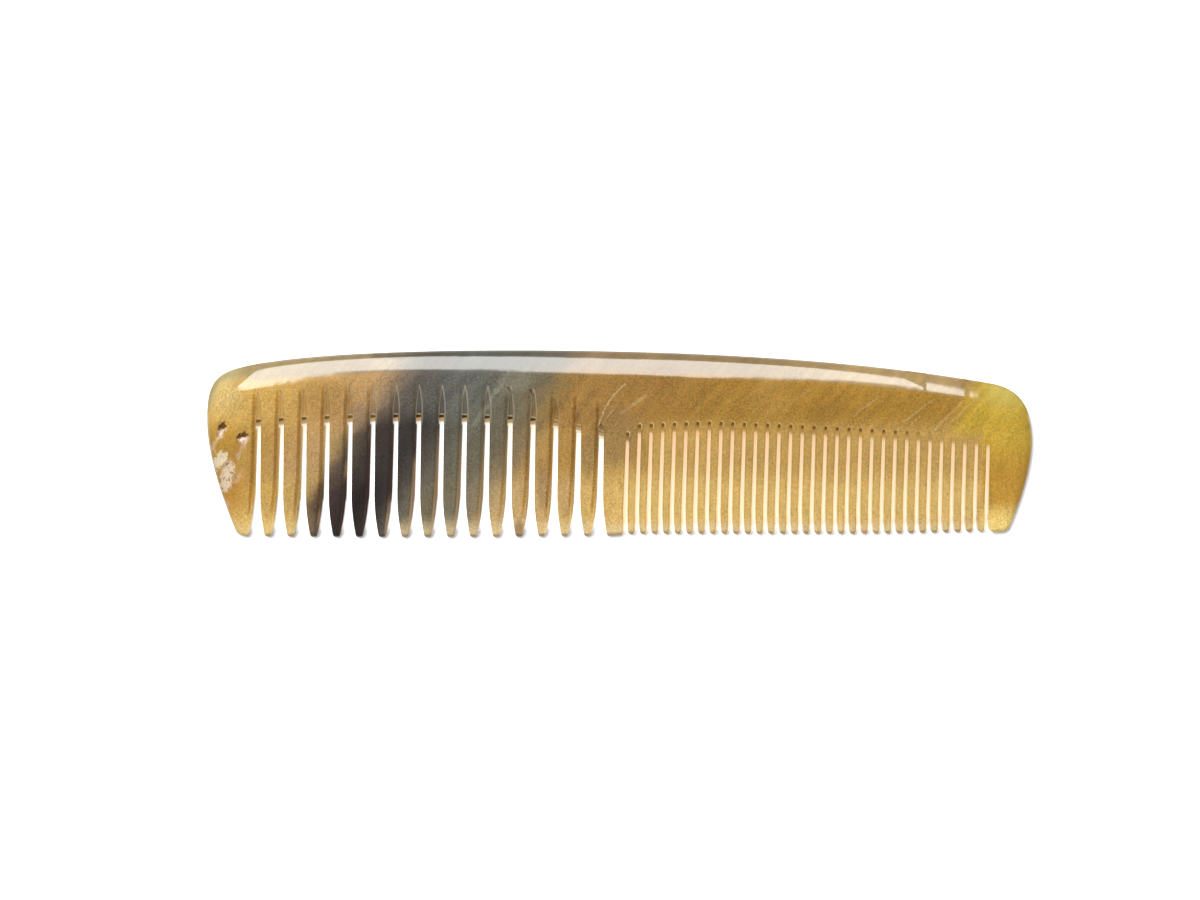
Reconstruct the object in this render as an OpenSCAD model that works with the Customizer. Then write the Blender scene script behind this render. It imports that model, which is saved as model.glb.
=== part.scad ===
// Pocket comb sawn from one plate of horn, with wide teeth on the left and fine teeth on the right.
// X runs along the comb, Y from the tips of the teeth to the bowed back, Z up from the face it lies on.
// The origin is the middle of the comb's footprint.

/* [Body] */
// Length over both end teeth
comb_l = 130.4; // [115:0.1:145]
// Width from the longest tips to the top of the bowed back
comb_w = 29.6; // [28.8:0.1:30.6]
// Thickness where the rounding of the back begins
belly_t = 3.4; // [2.8:0.1:4]
// Thickness of the plate at the tips of the teeth
tip_t = 1.7; // [1.4:0.1:2.2]

/* [Rounded edges] */
// Width of the rounding along the bowed back
back_round = 4.5; // [3.4:0.1:5]
// Width of the rounding along the two ends
side_round = 2.5; // [1.6:0.1:2.8]
// Width of the rounding at the tips
tip_round = 0.8; // [0.5:0.1:0.9]

/* [Guard teeth] */
// Distance from the left end to the middle of the first wide slot
left_guard = 8.13; // [7:0.05:9.5]
// Distance from the middle of the last wide slot to that of the first fine slot
mid_guard = 3.91; // [3:0.05:5]
// Middle of the guard tooth between the two sections, right of the comb's middle
split = -1.03; // [-8:0.1:8]
// Distance from the middle of the last fine slot to the right end
right_guard = 7.28; // [6:0.05:8.5]

/* [Wide teeth] */
// Number of wide slots
wide_slots = 16; // [13:1:18]
// Width of a wide slot at its inner end
wide_gap = 0.74; // [0.6:0.02:1.1]
// How much wider it is where the tips begin to taper
wide_widening = 0.14; // [0:0.02:0.3]
// Height of the highest wide slot end above the comb's middle line
wide_root = 4.6; // [3:0.1:5]
// Length of the taper towards a wide tip
wide_taper = 8.0; // [5:0.1:9]
// Width of a wide tip before its corners are rounded
wide_tip_w = 0.9; // [0.9:0.05:1.6]
// Lean of the wide slots in degrees, top to the right
wide_lean = 1.4; // [0:0.1:3]

/* [Filed grooves] */
// Depth of the groove filed along each wide slot
groove_depth = 0.5; // [0.3:0.05:0.7]
// Width of the groove's flank on the left of the slot
groove_left = 0.46; // [0.2:0.02:0.5]
// Width of the groove's flank on the right of the slot
groove_right = 0.16; // [0.06:0.02:0.3]

/* [Fine teeth] */
// Number of fine slots
fine_slots = 32; // [26:1:36]
// Width of a fine slot at its inner end
fine_gap = 0.5; // [0.3:0.02:0.6]
// How much wider it is where the tips begin to taper
fine_widening = 0.16; // [0:0.02:0.24]
// Height of the highest fine slot end above the comb's middle line
fine_root = 3.6; // [2.6:0.1:4.4]
// Length of the taper towards a fine tip
fine_taper = 3.8; // [3.5:0.1:5]
// Width of a fine tip before its corners are rounded
fine_tip_w = 1.0; // [0.9:0.05:1.15]
// Lean of the first fine slot in degrees, top to the right
fine_lean_first = 1.8; // [0:0.1:3]
// Lean of the last fine slot in degrees
fine_lean_last = 1.0; // [0:0.1:3]

/* [Saw cuts] */
// How much higher a wide slot ends on the front than on the back
wide_runout = 1.3; // [0.2:0.1:1.6]
// How much higher a fine slot ends on the front than on the back
fine_runout = 1.4; // [0.6:0.1:2]

/* [Hidden] */

round_steps = 8;       // rings of facets over a rounded edge
curve_steps = 8;       // points along each curve of the outline
spine_steps = 14;      // points along each half of the bowed back
foot_steps = 4;        // points round the foot of each end tooth
over = 1.0;            // how far cutters stand clear of what they cut
rise = 0.3;            // how far a groove's cutter stands out of the face
reach = 0.25;          // how far the rounding is carried past a face, in shares of its last facet
floor_mid = -0.05;     // how far a groove's floor lies right of its slot's middle
floor_half = 0.05;     // half the width of that floor
run_past = 1.2;        // how far a groove's run-out goes on past the face, in shares of its turn
arc_sides = 180;       // sides of a full circle in the run-outs
chip_sides = 48;       // sides of a full circle in the chips
wide_pivot = -2.6;     // height about which the wide slots lean
fine_pivot = -9.0;     // height about which the fine slots lean

// A tooth narrows along a curve to its tip. Its corners have a radius on the left and one on the right
tip_bulge = 2.3;       // how full that curve is
wide_levels = [1, 0.7, 0.45, 0.28, 0.16, 0.09];
fine_levels = [1, 0.7, 0.45, 0.28, 0.19];
corner_levels = [1, 0.4, 0.1, 0];
wide_corners = [0.42, 0.42];
fine_corners = [0.65, 0.2];
wide_tip_shift = 0.0;  // how far a tip lies right of its tooth's middle
fine_tip_shift = 0.15;

// The tips lie on a shallow arc, the fine ones higher than the wide ones
wide_tip_bow = 0.00022;
fine_tip_lift = 0.53;
fine_tip_bow = 0.00065;
tip_step = 3.0;        // length over which the line of the tips steps up at the split

// The inner ends of the slots lie on a bow that drops towards the split
wide_root_bow = 0.0013;
wide_root_drop = 0.0075;
wide_drop_from = 16;   // distance from the split at which the wide slots begin to shorten
fine_root_fall = 0.035;
fine_root_bow = 0.00045;
fine_root_mid = 15;    // distance from the split to the highest fine slot end
first_fine_short = 1.2;

// Heights between which the rounding of an end grows from that of a tip to its full width
foot_low = -13.5;
foot_high = -3.5;
back_share = 6;        // how sharply the rounding narrows as the back turns into an end
tip_share = 2;         // the same where an end turns into the line of the tips

// The outline as curves with four control points each, in shares of half the length and half the width
left_side = [[-0.934, -0.900], [-0.9655, -0.560], [-1.0, -0.1], [-1.0, 0.253]];
left_corner = [[-1.0, 0.253], [-1.0, 0.638], [-0.980, 0.746], [-0.920, 0.814]];
spine_left = [[-0.920, 0.814], [-0.802, 0.954], [-0.521, 1.0], [-0.261, 1.0]];
spine_right = [[-0.261, 1.0], [0.123, 1.0], [0.552, 0.922], [0.900, 0.645]];
right_corner = [[0.900, 0.645], [0.957, 0.597], [0.997, 0.462], [1.0, 0.044]];
right_side = [[1.0, 0.044], [1.0, -0.267], [0.9715, -0.630], [0.9475, -0.880]];
right_foot = [[0.9475, -0.880], [0.943, -0.922], [0.934, -0.948], [0.921, -0.948]];
left_foot = [[-0.905, -0.990], [-0.919, -0.990], [-0.929, -0.965], [-0.934, -0.900]];

// Run-out of the groove above each wide slot, cut by hand and so uneven
groove_runs = [4.8, 4.7, 4.6, 4.8, 5.4, 5.2, 4.5, 4.8, 4.5, 3.6, 3.9, 4.8, 4.2, 4.0, 2.4, 1.3];

// Chips near the left end, each a shallow scoop: distance from the left end, height, radius, depth
chips = [
    [3.1, 2.55, 0.95, 0.55],
    [6.0, 1.35, 0.85, 0.50]
];

half = [comb_l / 2, comb_w / 2];
wide_first = -half[0] + left_guard;
fine_first = split + mid_guard / 2;
wide_pitch = (split - mid_guard / 2 - wide_first) / (wide_slots - 1);
fine_pitch = (half[0] - right_guard - fine_first) / (fine_slots - 1);
taper_top = half[1] - back_round;
face_slope = atan((belly_t - tip_t) / (taper_top + half[1]));

function face_z(y) = belly_t - (taper_top - y) * tan(face_slope);
function smooth(t) = let (u = max(0, min(1, t))) u * u * (3 - 2 * u);
function scaled(p) = [p[0] * half[0], p[1] * half[1]];
function bezier(c, t) = pow(1 - t, 3) * c[0] + 3 * t * pow(1 - t, 2) * c[1]
    + 3 * t * t * (1 - t) * c[2] + pow(t, 3) * c[3];
function curve(c, n) = [for (i = [0:n - 1]) scaled(bezier(c, i / n))];

// The height of the tips
function wide_line(x) = -half[1] + wide_tip_bow * pow(x + half[0] / 2, 2);
function fine_line(x) = -half[1] + fine_tip_lift + fine_tip_bow * pow(max(0, x - half[0] / 2), 2);
function tip_line(x) = let (s = smooth((x - split) / tip_step))
    (1 - s) * wide_line(x) + s * fine_line(x);
tip_stations = concat(
    [for (share = [0.83, 0.72, 0.61, 0.46, 0.3]) share * half[0]],
    [for (share = [1, 0.67, 0.33, 0]) split + share * tip_step],
    [for (share = [-0.3, -0.48, -0.66, -0.83]) share * half[0]]
);

outline = concat(
    curve(left_side, curve_steps), curve(left_corner, curve_steps),
    curve(spine_left, spine_steps), curve(spine_right, spine_steps),
    curve(right_corner, curve_steps), curve(right_side, curve_steps),
    curve(right_foot, foot_steps), [scaled(right_foot[3])],
    [for (x = tip_stations) [x, tip_line(x)]],
    curve(left_foot, foot_steps)
);
count = len(outline);

// Outward direction at a point of the outline, from its two neighbours
function outward(i) = let (
        a = outline[(i + count - 1) % count],
        b = outline[(i + 1) % count],
        d = b - a
    ) [-d[1], d[0]] / norm(d);
function end_round(y) = tip_round
    + (side_round - tip_round) * smooth((y - foot_low) / (foot_high - foot_low));
function edge_round(y, n) = let (side = end_round(y), up = n[1] > 0)
    side + ((up ? back_round : tip_round) - side) * pow(n[1], up ? back_share : tip_share);

// One ring of the rounded blank: a is 0 on the lower face, 90 at the edge and 180 on the upper face
function ring_point(i, a) = let (
        p = outline[i],
        n = outward(i),
        w = edge_round(p[1], n),
        q = p - n * w * (1 - sin(a))
    ) [q[0], q[1], face_z(p[1] - n[1] * w) / 2 * (1 - cos(a))];

// The same ring carried a little past the face, so that the face itself can be cut flat
function ring_past(i, a, b) = ring_point(i, a) + reach * (ring_point(i, a) - ring_point(i, b));

// The rounded edges as one closed body that stands out of both faces
module edges() {
    last = round_steps;
    step = 180 / last;
    rings = concat(
        [for (i = [0:count - 1]) ring_past(i, 0, step)],
        [for (k = [1:last - 1], i = [0:count - 1]) ring_point(i, step * k)],
        [for (i = [0:count - 1]) ring_past(i, 180, 180 - step)]
    );
    hub = len(rings);
    points = concat(rings, [[0, 0, -over], [0, 0, belly_t + over]]);
    walls = [for (k = [0:last - 1], i = [0:count - 1]) let (j = (i + 1) % count)
        [k * count + i, k * count + j, (k + 1) * count + j, (k + 1) * count + i]];
    lower_cap = [for (i = [0:count - 1]) [hub, (i + 1) % count, i]];
    upper_cap = [for (i = [0:count - 1]) let (j = (i + 1) % count)
        [hub + 1, last * count + i, last * count + j]];
    polyhedron(points, concat(walls, lower_cap, upper_cap), convexity = 4);
}

// The blank: a plate with rounded edges, thinner towards the tips
module blank() {
    difference() {
        edges();
        translate([-comb_l, -comb_w, -2 * over])
            cube([2 * comb_l, 2 * comb_w, 2 * over]);
        translate([0, taper_top, belly_t])
            rotate([face_slope, 0, 0])
                translate([-comb_l, -2 * comb_w, 0])
                    cube([2 * comb_l, 3 * comb_w, 2 * over]);
    }
}

// Half the width of a tooth at the height d above its tip, on a side whose corner has the radius r
function tooth_half(d, w, tip_w, taper, r) = tip_w / 2
    + (w - tip_w) / 2 * (1 - pow(1 - d / taper, tip_bulge))
    - (d < r ? r - sqrt(r * r - pow(r - d, 2)) : 0);

// One side of the tooth: its half width and height at each level, from the top of the taper to the tip
function tooth_side(w, tip_w, taper, levels, r) = [
    for (d = concat(levels * taper, corner_levels * r)) [tooth_half(d, w, tip_w, taper, r), d]
];

// Plan of one slot from its inner end down past the tips, where it flares between two rounded tips
module slot_plan(pitch, gap, widening, taper, tip_w, levels, corners, shift, top, foot) {
    function moved(d) = shift * (1 - d / taper);
    tooth = pitch - gap - widening;
    left = [for (s = tooth_side(tooth, tip_w, taper, levels, corners[1]))
        [-pitch / 2 + s[0] + moved(s[1]), foot + s[1]]];
    right = [for (s = tooth_side(tooth, tip_w, taper, levels, corners[0]))
        [pitch / 2 - s[0] + moved(s[1]), foot + s[1]]];
    last = len(left) - 1;
    low = foot - 2 * over;
    polygon(concat(
        [[-gap / 2, top]], left, [[left[last][0], low], [right[last][0], low]],
        [for (i = [last:-1:0]) right[i]], [[gap / 2, top]]
    ));
}

// A slot whose inner end slants with the saw's cut, higher on the front than on the back
module slot(pitch, gap, widening, taper, tip_w, levels, corners, shift, top, foot, runout) {
    slant = atan(runout / face_z(top));
    difference() {
        translate([0, 0, -over])
            linear_extrude(belly_t + 2 * over)
                slot_plan(pitch, gap, widening, taper, tip_w, levels, corners, shift, top + over, foot);
        translate([0, top, face_z(top)])
            rotate([-slant, 0, 0])
                translate([-pitch, 0, -comb_w])
                    cube([2 * pitch, comb_w, 2 * comb_w]);
    }
}

// The groove's cross-section: x across the slot, y out of the face. It narrows to a floor at
// -groove_depth, so that its run-out ends in a point
function groove_points(gap) = let (
        left = -gap / 2 - groove_left,
        right = gap / 2 + groove_right,
        floor_left = floor_mid - floor_half,
        floor_right = floor_mid + floor_half,
        flare = rise / groove_depth
    ) [
        [left - flare * (floor_left - left), rise],
        [floor_left, -groove_depth],
        [floor_right, -groove_depth],
        [right + flare * (right - floor_right), rise]
    ];

// A groove along y, from the tips up to the slot's end at y = 0, where it rises out of the face
module groove(gap, run) {
    file_r = (run * run + groove_depth * groove_depth) / (2 * groove_depth);
    section = groove_points(gap);
    sweep = run_past * asin(run / file_r);
    rotate([90, 0, 0])
        linear_extrude(comb_w)
            polygon(section);
    translate([0, 0, file_r - groove_depth])
        rotate([0, 90, 0])
            rotate_extrude(angle = sweep, $fn = arc_sides)
                polygon([for (p = section) [file_r - groove_depth - p[1], p[0]]]);
}

function wide_x(i) = wide_first + i * wide_pitch;
function wide_top(x) = wide_root - wide_root_bow * pow(x + half[0] / 2, 2)
    - wide_root_drop * pow(max(0, x - split + wide_drop_from), 2);
function fine_x(i) = fine_first + i * fine_pitch;
function fine_top(i) = let (d = abs(fine_x(i) - split - fine_root_mid))
    fine_root - fine_root_fall * d - fine_root_bow * d * d - (i == 0 ? first_fine_short : 0);
function fine_lean(i) = fine_lean_first + (fine_lean_last - fine_lean_first) * i / (fine_slots - 1);

// Leaned over to the right by an angle, about a point at the height pivot on its own middle line
module leaned(x, angle, pivot) {
    translate([x, pivot, 0])
        rotate([0, 0, -angle])
            translate([0, -pivot, 0])
                children();
}

module wide_cut(i) {
    x = wide_x(i);
    top = wide_top(x);
    run = groove_runs[i % len(groove_runs)];
    leaned(x, wide_lean, wide_pivot) {
        slot(wide_pitch, wide_gap, wide_widening, wide_taper, wide_tip_w, wide_levels, wide_corners,
            wide_tip_shift, top, tip_line(x), wide_runout);
        translate([0, top, face_z(top)])
            rotate([face_slope, 0, 0])
                groove(wide_gap, run);
        translate([0, top - wide_runout, 0])
            mirror([0, 0, 1])
                groove(wide_gap, run);
    }
}

module fine_cut(i) {
    x = fine_x(i);
    leaned(x, fine_lean(i), fine_pivot)
        slot(fine_pitch, fine_gap, fine_widening, fine_taper, fine_tip_w, fine_levels, fine_corners,
            fine_tip_shift, fine_top(i), tip_line(x), fine_runout);
}

module chip(c) {
    ball = (c[2] * c[2] + c[3] * c[3]) / (2 * c[3]);
    translate([c[0] - half[0], c[1], face_z(c[1]) + ball - c[3]])
        sphere(r = ball, $fn = chip_sides);
}

module comb() {
    color("#b98f4e")
        difference() {
            blank();
            for (i = [0:wide_slots - 1]) wide_cut(i);
            for (i = [0:fine_slots - 1]) fine_cut(i);
            for (c = chips) chip(c);
        }
}

comb();
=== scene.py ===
import math
import bpy
import bmesh
from mathutils import Matrix, Vector, noise
from mathutils.geometry import interpolate_bezier


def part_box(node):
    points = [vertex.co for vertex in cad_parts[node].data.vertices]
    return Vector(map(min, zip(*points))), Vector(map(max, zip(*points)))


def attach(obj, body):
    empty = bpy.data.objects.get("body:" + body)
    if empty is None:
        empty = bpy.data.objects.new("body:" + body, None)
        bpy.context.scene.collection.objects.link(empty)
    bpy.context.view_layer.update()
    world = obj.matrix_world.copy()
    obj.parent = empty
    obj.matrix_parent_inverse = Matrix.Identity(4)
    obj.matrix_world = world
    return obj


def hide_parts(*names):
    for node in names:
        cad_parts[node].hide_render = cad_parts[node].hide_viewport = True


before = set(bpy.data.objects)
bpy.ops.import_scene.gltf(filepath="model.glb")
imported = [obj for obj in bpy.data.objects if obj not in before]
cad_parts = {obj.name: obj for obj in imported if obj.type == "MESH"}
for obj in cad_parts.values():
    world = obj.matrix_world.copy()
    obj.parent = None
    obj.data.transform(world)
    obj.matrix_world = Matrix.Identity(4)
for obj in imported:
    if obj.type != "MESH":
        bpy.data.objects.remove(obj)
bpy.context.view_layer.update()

# A pocket comb of polished horn, lying flat. It is modelled in millimetres and shrunk to metres when done.
# X runs along the comb to the fine teeth, Y from the tips to the bowed back, Z up.
millimetre = 0.001
nodeLow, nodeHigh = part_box("comb")
halfLength = (nodeHigh.x - nodeLow.x) / 2 / millimetre
halfWidth = (nodeHigh.y - nodeLow.y) / 2 / millimetre
bellyHeight = nodeHigh.z / millimetre


def deselect():
    if bpy.context.mode != "OBJECT":
        bpy.ops.object.mode_set(mode="OBJECT")
    bpy.ops.object.select_all(action="DESELECT")


def pickOnly(piece):
    deselect()
    piece.select_set(True)
    bpy.context.view_layer.objects.active = piece


def editAll(piece):
    pickOnly(piece)
    bpy.ops.object.mode_set(mode="EDIT")
    bpy.ops.mesh.select_all(action="SELECT")


def faceOutward():
    bpy.ops.mesh.select_all(action="SELECT")
    bpy.ops.mesh.normals_make_consistent(inside=False)
    bpy.ops.object.mode_set(mode="OBJECT")


def polygon(corners):
    bpy.ops.mesh.primitive_circle_add(vertices=len(corners), radius=1, fill_type="NGON")
    piece = bpy.context.object
    for vertex, corner in zip(piece.data.vertices, corners):
        vertex.co = corner
    return piece


def joinPieces(pieces, name):
    deselect()
    for piece in pieces:
        piece.select_set(True)
    bpy.context.view_layer.objects.active = pieces[0]
    bpy.ops.object.join()
    pieces[0].name = name
    return pieces[0]


def smooth(value, low, high):
    share = max(0.0, min(1.0, (value - low) / (high - low)))
    return share * share * (3 - 2 * share)


# The blank
blankShape = {
    "tipHeight": 1.7,        # thickness at the tips
    "backRound": 4.5,        # width of the rounding along the bowed back
    "sideRound": 2.5,        # the same along the two ends
    "tipRound": 0.8,         # the same at the tips
    "rollSteps": 26,         # rows of faces over the rounding
    "footLow": -13.5,        # between these heights an end's rounding grows to its full width
    "footHigh": -3.5,
    "backShare": 6,          # how sharply the back's rounding narrows into an end
    "tipShare": 2,
    "split": -1.03,          # middle of the guard tooth between the two sections
    "tipStep": 3.0,          # length over which the line of the tips steps up there
    "wideTipBow": 0.00022,
    "fineTipLift": 0.53,
    "fineTipBow": 0.00065,
    "tipPoints": 70,
    "footShare": 0.83,       # share of half the length past which the tips' line runs straight to a foot
    "weld": 0.0001,          # points closer than this are merged
}
# Each curve of the outline: its four control points in shares of half the length and width, and its points
outlineCurves = {
    "leftSide": ([(-0.934, -0.900), (-0.9655, -0.560), (-1.0, -0.1), (-1.0, 0.253)], 36),
    "leftCorner": ([(-1.0, 0.253), (-1.0, 0.638), (-0.980, 0.746), (-0.920, 0.814)], 26),
    "spineLeft": ([(-0.920, 0.814), (-0.802, 0.954), (-0.521, 1.0), (-0.261, 1.0)], 60),
    "spineRight": ([(-0.261, 1.0), (0.123, 1.0), (0.552, 0.922), (0.900, 0.645)], 80),
    "rightCorner": ([(0.900, 0.645), (0.957, 0.597), (0.997, 0.462), (1.0, 0.044)], 30),
    "rightSide": ([(1.0, 0.044), (1.0, -0.267), (0.9715, -0.630), (0.9475, -0.880)], 36),
    "rightFoot": ([(0.9475, -0.880), (0.943, -0.922), (0.934, -0.948), (0.921, -0.948)], 10),
    "leftFoot": ([(-0.905, -0.990), (-0.919, -0.990), (-0.929, -0.965), (-0.934, -0.900)], 10),
}
taperTop = halfWidth - blankShape["backRound"]
faceFall = (bellyHeight - blankShape["tipHeight"]) / (taperTop + halfWidth)
faceSlope = math.atan(faceFall)


def faceHeight(y):
    return bellyHeight - (taperTop - y) * faceFall


def tipLine(x):
    shape = blankShape
    wide = -halfWidth + shape["wideTipBow"] * (x + halfLength / 2) ** 2
    fine = -halfWidth + shape["fineTipLift"] + shape["fineTipBow"] * max(0.0, x - halfLength / 2) ** 2
    step = smooth(x, shape["split"], shape["split"] + shape["tipStep"])
    return wide + (fine - wide) * step


def curvePoints(name):
    handles, count = outlineCurves[name]
    corners = [Vector((x * halfLength, y * halfWidth)) for x, y in handles]
    return interpolate_bezier(*corners, count + 1)[:-1]


def tipPoints():
    feet = [Vector(outlineCurves["rightFoot"][0][3]), Vector(outlineCurves["leftFoot"][0][0])]
    right, left = [Vector((foot.x * halfLength, foot.y * halfWidth)) for foot in feet]
    count = blankShape["tipPoints"]
    points = []
    for step in range(count):
        x = right.x + (left.x - right.x) * step / count
        foot = right if x > 0 else left
        inner = math.copysign(blankShape["footShare"] * halfLength, x)
        share = max(0.0, (x - inner) / (foot.x - inner))
        points.append(Vector((x, tipLine(x if share == 0 else inner) * (1 - share) + foot.y * share)))
    return points


def wholeOutline():
    before = ["leftSide", "leftCorner", "spineLeft", "spineRight", "rightCorner", "rightSide", "rightFoot"]
    points = [point for name in before for point in curvePoints(name)]
    return points + tipPoints() + curvePoints("leftFoot")


def roundWidth(point, outward):
    shape = blankShape
    end = shape["tipRound"] + (shape["sideRound"] - shape["tipRound"]) * smooth(
        point.y, shape["footLow"], shape["footHigh"])
    if outward.y > 0:
        return end + (shape["backRound"] - end) * outward.y ** shape["backShare"]
    return end + (shape["tipRound"] - end) * outward.y ** shape["tipShare"]


def makeBlank():
    outline = wholeOutline()
    count = len(outline)
    rows = blankShape["rollSteps"]
    bpy.ops.mesh.primitive_grid_add(x_subdivisions=count, y_subdivisions=rows, size=2)
    blank = bpy.context.object
    blank.name = "hornComb"
    for vertex in blank.data.vertices:
        column = round((vertex.co.x + 1) / 2 * count) % count
        turn = math.pi * (vertex.co.y + 1) / 2
        before, after = outline[column - 1], outline[(column + 1) % count]
        along = (after - before).normalized()
        outward = Vector((-along.y, along.x))
        width = roundWidth(outline[column], outward)
        inner = outline[column] - outward * width
        place = inner + outward * width * math.sin(turn)
        vertex.co = (place.x, place.y, faceHeight(inner.y) / 2 * (1 - math.cos(turn)))
    editAll(blank)
    bpy.ops.mesh.remove_doubles(threshold=blankShape["weld"])
    bpy.ops.mesh.select_all(action="SELECT")
    bpy.ops.mesh.fill_holes(sides=0)
    faceOutward()
    return blank


# The saw cuts
wideTeeth = {
    "slots": 16,
    "firstFromEnd": 8.13,    # from the left end to the middle of the first slot
    "lastFromSplit": 1.955,  # from the middle guard tooth's middle to that of the last slot
    "gap": 0.74,             # width of a slot at its inner end
    "widening": 0.14,        # how much wider it is where the tips begin to taper
    "root": 4.6,             # height of the highest slot end above the middle line
    "rootBow": 0.0013,
    "rootDrop": 0.0075,
    "dropFrom": 16,
    "taper": 8.0,            # length over which a tooth narrows to its tip
    "tipWidth": 0.9,         # width of the tip before its corners are rounded
    "tipShift": 0.0,         # how far the tip lies right of its tooth's middle
    "corners": (0.42, 0.42), # radii of a tooth's left and right corner
    # heights at which the taper has points, in shares of its length
    "levels": [1.0, 0.88, 0.76, 0.65, 0.55, 0.46, 0.37, 0.29, 0.22, 0.16, 0.11, 0.07],
    "runOut": 1.3,           # how much higher a slot ends on the front than on the back
    "lean": (1.4, 1.4),      # of the first and the last slot in degrees, top to the right
    "leanPivot": -2.6,
    "endRound": 0,           # points round a slot's inner end
}
fineTeeth = {
    "slots": 32,
    "lastFromEnd": 7.28,
    "gap": 0.5,
    "widening": 0.16,
    "root": 3.6,
    "rootFall": 0.035,
    "rootBow": 0.00045,
    "rootMiddle": 15,
    "firstShort": 1.2,
    "taper": 3.8,
    "tipWidth": 1.0,
    "tipShift": 0.15,
    "corners": (0.65, 0.2),
    "levels": [1.0, 0.88, 0.76, 0.65, 0.55, 0.46, 0.37, 0.29, 0.23, 0.18],
    "runOut": 1.4,
    "lean": (1.8, 1.0),
    "leanPivot": -9.0,
    "endRound": 5,
}
cutterClear = 1.0            # how far the cutters stand clear of the comb
tipBulge = 2.3               # how full a tooth's taper is
cornerLevels = [1.0, 0.66, 0.4, 0.2, 0.07, 0.0]

wideFirst = -halfLength + wideTeeth["firstFromEnd"]
wideLast = blankShape["split"] - wideTeeth["lastFromSplit"]
widePitch = (wideLast - wideFirst) / (wideTeeth["slots"] - 1)
fineFirst = blankShape["split"] + wideTeeth["lastFromSplit"]
finePitch = (halfLength - fineTeeth["lastFromEnd"] - fineFirst) / (fineTeeth["slots"] - 1)


def wideTop(x):
    teeth = wideTeeth
    drop = max(0.0, x - blankShape["split"] + teeth["dropFrom"])
    return teeth["root"] - teeth["rootBow"] * (x + halfLength / 2) ** 2 - teeth["rootDrop"] * drop ** 2


def fineTop(x, index):
    teeth = fineTeeth
    away = abs(x - blankShape["split"] - teeth["rootMiddle"])
    short = teeth["firstShort"] if index == 0 else 0.0
    return teeth["root"] - teeth["rootFall"] * away - teeth["rootBow"] * away ** 2 - short


def toothSide(teeth, pitch, radius):
    # Half the tooth's width at heights above its tip, on a side whose corner has this radius
    full = (pitch - teeth["gap"] - teeth["widening"]) / 2
    end, taper = teeth["tipWidth"] / 2, teeth["taper"]
    side = []
    for height in [taper * share for share in teeth["levels"]] + [radius * share for share in cornerLevels]:
        half = end + (full - end) * (1 - (1 - height / taper) ** tipBulge)
        if height < radius:
            half -= radius - math.sqrt(radius ** 2 - (radius - height) ** 2)
        side.append((half, height))
    return side


def slotPlan(teeth, pitch, top, foot):
    # The slot's plan about its own middle line, from its inner end down the left side and up the right one
    half, roundEnd = teeth["gap"] / 2, teeth["endRound"]
    leftCorner, rightCorner = teeth["corners"]
    left, right = [], []
    for points, side, corner in ((left, -1, rightCorner), (right, 1, leftCorner)):
        for tooth, height in toothSide(teeth, pitch, corner):
            shift = teeth["tipShift"] * (1 - height / teeth["taper"])
            points.append((side * (pitch / 2 - tooth) + shift, foot + height))
    low = foot - 2 * cutterClear
    shoulder = top - half if roundEnd else top
    down = [(-half, shoulder)] + left + [(left[-1][0], low)]
    up = [(right[-1][0], low)] + right[::-1] + [(half, shoulder)]
    end = []
    for step in range(1, roundEnd):
        angle = math.pi * step / roundEnd
        end.append((half * math.cos(angle), shoulder + half * math.sin(angle)))
    return down + up + end


def leaned(teeth, x, share):
    # Puts a cutter at x, leaning to the right by the slot's share of the way from the first lean to the last
    first, last = teeth["lean"]
    pivot = Vector((0, teeth["leanPivot"], 0))
    turn = Matrix.Rotation(-math.radians(first + (last - first) * share), 4, "Z")
    return Matrix.Translation(pivot + Vector((x, 0, 0))) @ turn @ Matrix.Translation(-pivot)


def makeSlot(teeth, pitch, x, top, share):
    plan = slotPlan(teeth, pitch, top, tipLine(x))
    low, high = -cutterClear, bellyHeight + cutterClear
    rake = teeth["runOut"] / faceHeight(top)
    slot = polygon([(across, along, low) for across, along in plan])
    editAll(slot)
    bpy.ops.mesh.extrude_region_move(TRANSFORM_OT_translate={"value": (0, 0, high - low)})
    # The saw leaves the inner end slanting, so it is drawn back below and forward above
    shape = bmesh.from_edit_mesh(slot.data)
    for vertex in shape.verts:
        if vertex.co.y > top - teeth["gap"]:
            vertex.co.y += rake * (vertex.co.z - faceHeight(top))
    bmesh.update_edit_mesh(slot.data)
    faceOutward()
    slot.data.transform(leaned(teeth, x, share))
    return slot


def makeSlots():
    slots = []
    for index in range(wideTeeth["slots"]):
        x = wideFirst + index * widePitch
        slots.append(makeSlot(wideTeeth, widePitch, x, wideTop(x), index / (wideTeeth["slots"] - 1)))
    for index in range(fineTeeth["slots"]):
        x = fineFirst + index * finePitch
        slots.append(makeSlot(fineTeeth, finePitch, x, fineTop(x, index), index / (fineTeeth["slots"] - 1)))
    return joinPieces(slots, "sawCuts")


# The grooves filed along the wide slots
grooves = {
    "depth": 0.5,
    "left": 0.46,            # width of the flank on the left of the slot
    "right": 0.16,
    "floorMiddle": -0.05,    # how far the floor lies right of the slot's middle
    "floorHalf": 0.05,       # half the floor's width
    "rise": 0.3,             # how far the cutter stands out of the face
    "steps": 14,             # faces along a groove's run-out
    "overshoot": 1.2,        # how far the file's arc runs on, in run-outs
    # run-out above each slot, cut by hand and so uneven
    "runs": [4.8, 4.7, 4.6, 4.8, 5.4, 5.2, 4.5, 4.8, 4.5, 3.6, 3.9, 4.8, 4.2, 4.0, 2.4, 1.3],
}


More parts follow.
